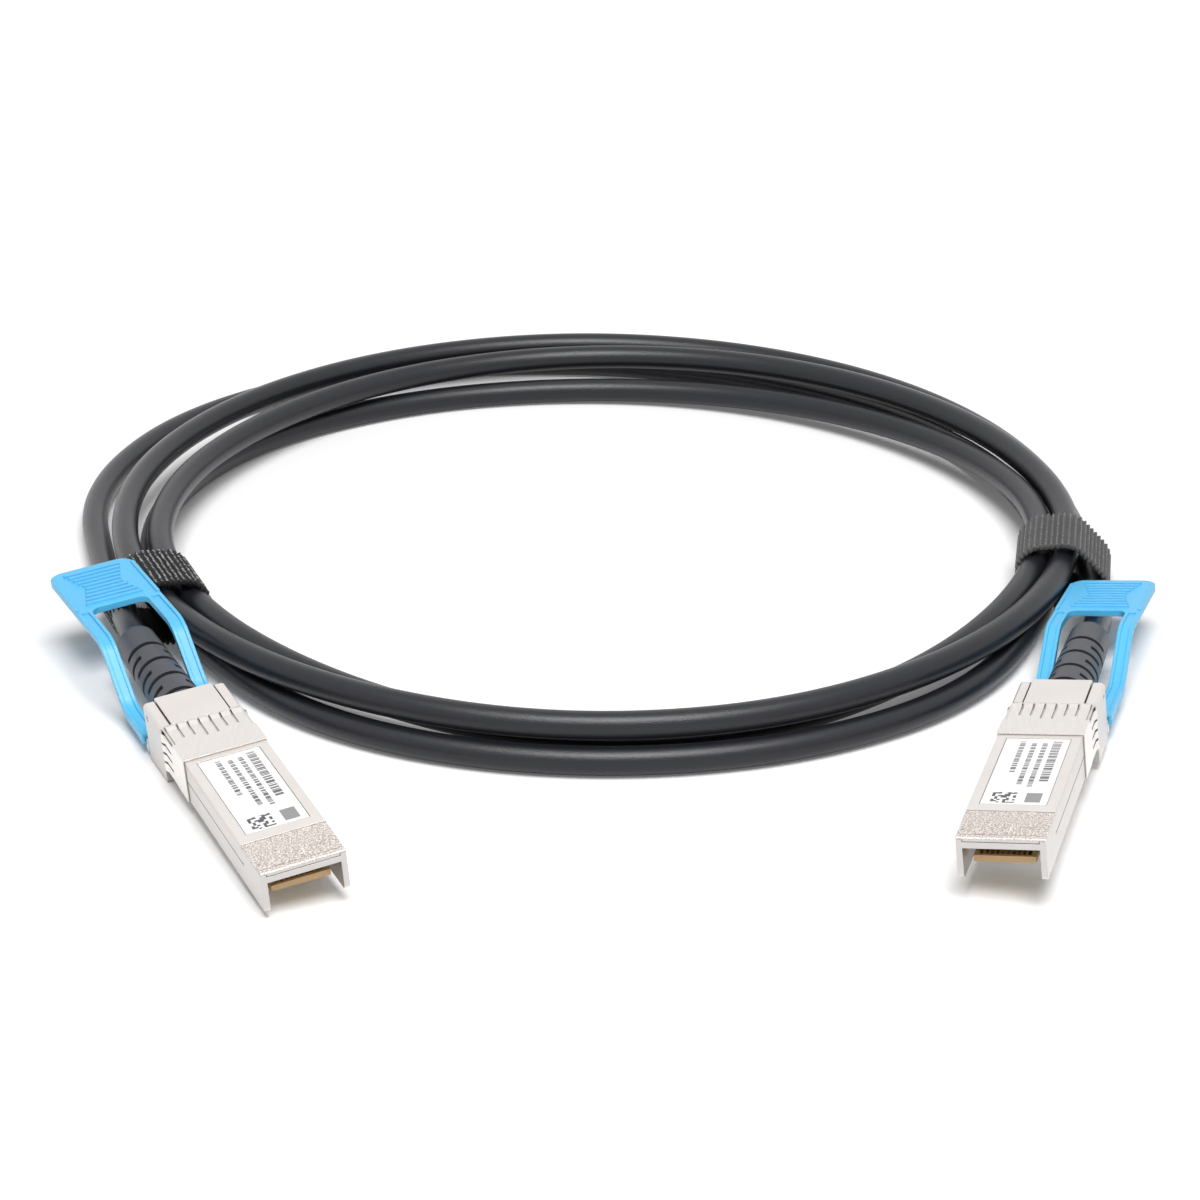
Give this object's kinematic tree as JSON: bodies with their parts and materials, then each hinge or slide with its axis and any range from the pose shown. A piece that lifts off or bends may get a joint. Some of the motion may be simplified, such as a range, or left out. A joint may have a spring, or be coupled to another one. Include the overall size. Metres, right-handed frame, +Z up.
{
  "type": "direct attach copper cable",
  "caption": "Coiled dark network cable with a metal pluggable connector at each end, slotted strain reliefs, blue pull tabs and two woven straps.",
  "frame": {"origin": "on the ground below the middle of the plugs, pull tabs and straps", "axes": "+X from the left plug to the right plug, +Y from the plugs towards the back of the coil, +Z up"},
  "size_m": [0.1952, 0.2369, 0.015],
  "materials": {
    "cast_shell": "nickel plated die cast, satin",
    "spring_steel": "bright rolled sheet and wire",
    "label_film": "white film with plain grey bars",
    "board": "solder mask",
    "gold": "hard gold plating",
    "chip_black": "moulded resin",
    "ceramic_tan": "fired ceramic",
    "wire_jacket": "foil wrapped pairs",
    "copper_alloy": "crimped",
    "boot_rubber": "moulded, matt",
    "blue_tab": "soft moulded plastic, satin",
    "cable_jacket": "extruded jacket, satin",
    "strap_fabric": "woven hook and loop"
  },
  "bodies": {
    "cable_assembly": {"left_lower_shell": "cast_shell", "left_upper_shell": "cast_shell", "left_label": "label_film", "left_emi_collar": "spring_steel", "left_circuit_board": "board", "left_edge_contacts": "gold", "left_eeprom_chip": "chip_black", "left_coupling_capacitors": "ceramic_tan", "left_twinax_wires": "wire_jacket", "left_crimp_ferrule": "copper_alloy", "left_strain_relief": "boot_rubber", "left_return_springs": "spring_steel", "left_cover_screws": "spring_steel", "right_lower_shell": "cast_shell", "right_upper_shell": "cast_shell", "right_label": "label_film", "right_emi_collar": "spring_steel", "right_circuit_board": "board", "right_edge_contacts": "gold", "right_eeprom_chip": "chip_black", "right_coupling_capacitors": "ceramic_tan", "right_twinax_wires": "wire_jacket", "right_crimp_ferrule": "copper_alloy", "right_strain_relief": "boot_rubber", "right_return_springs": "spring_steel", "right_cover_screws": "spring_steel", "cable": "cable_jacket", "left_strap": "strap_fabric", "right_strap": "strap_fabric"},
    "left_latch": {"left_pull_tab": "blue_tab", "left_latch_slide": "spring_steel"},
    "right_latch": {"right_pull_tab": "blue_tab", "right_latch_slide": "spring_steel"}
  },
  "joints": [
    {"name": "left_pull", "type": "slide", "parent": "cable_assembly", "child": "left_latch", "axis": [-0.4072, 0.9125, 0.0387], "range_m": [0, 0.0025], "stiffness_N_per_m": 400, "deforming": ["left_return_springs"]},
    {"name": "right_pull", "type": "slide", "parent": "cable_assembly", "child": "right_latch", "axis": [0.2818, 0.9593, -0.0161], "range_m": [0, 0.0025], "stiffness_N_per_m": 400, "deforming": ["right_return_springs"]}
  ]
}
